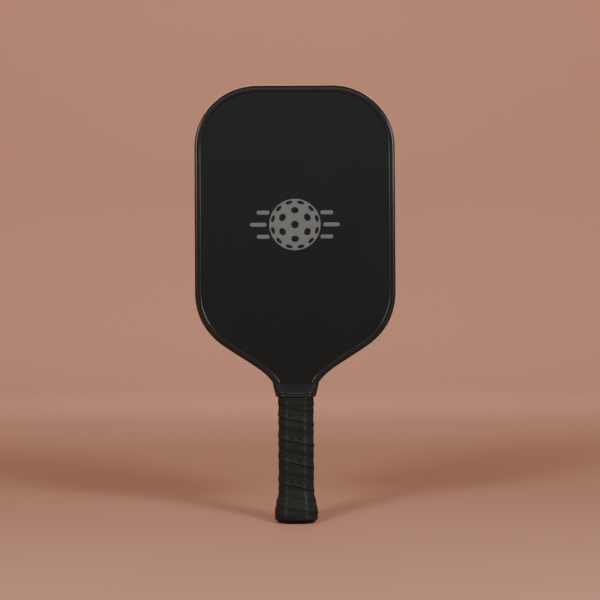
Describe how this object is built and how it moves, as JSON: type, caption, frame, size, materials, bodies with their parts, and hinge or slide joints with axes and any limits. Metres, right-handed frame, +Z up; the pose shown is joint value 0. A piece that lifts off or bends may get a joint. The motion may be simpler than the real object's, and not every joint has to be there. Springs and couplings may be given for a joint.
{
  "type": "pickleball paddle",
  "caption": "Elongated pickleball paddle: honeycomb core panel with carbon faces, edge guard, and a wrapped octagonal handle with neck collar and flared butt.",
  "frame": {"origin": "centre of the butt's flat end face, which is the lowest point when the paddle stands on its butt", "axes": "+Z up the handle to the top of the head, X across the width of the head, front face along -Y"},
  "size_m": [0.1916, 0.038, 0.418],
  "materials": {
    "core": "translucent white polypropylene honeycomb",
    "scrim": "thin non-woven veil",
    "face": "matte carbon laminate with a peel-ply grain",
    "guard": "satin black",
    "bond": "double-sided tape",
    "handle": "dense foam",
    "cap": "moulded, matte",
    "badge": "blank domed disc",
    "staple": "bright wire",
    "grip": "perforated synthetic leather",
    "finishing": "vinyl tape",
    "collar": "moulded, matte"
  },
  "bodies": {
    "root": {"honeycomb_core": "core", "front_scrim": "scrim", "rear_scrim": "scrim", "front_face_sheet": "face", "rear_face_sheet": "face", "edge_guard": "guard", "guard_bond_tape": "bond", "handle_shell_front": "handle", "handle_shell_rear": "handle", "butt_cap": "cap", "butt_badge": "badge", "butt_staple_front": "staple", "butt_staple_rear": "staple", "grip_wrap": "grip", "grip_finishing_tape": "finishing", "neck_collar": "collar"}
  },
  "joints": []
}
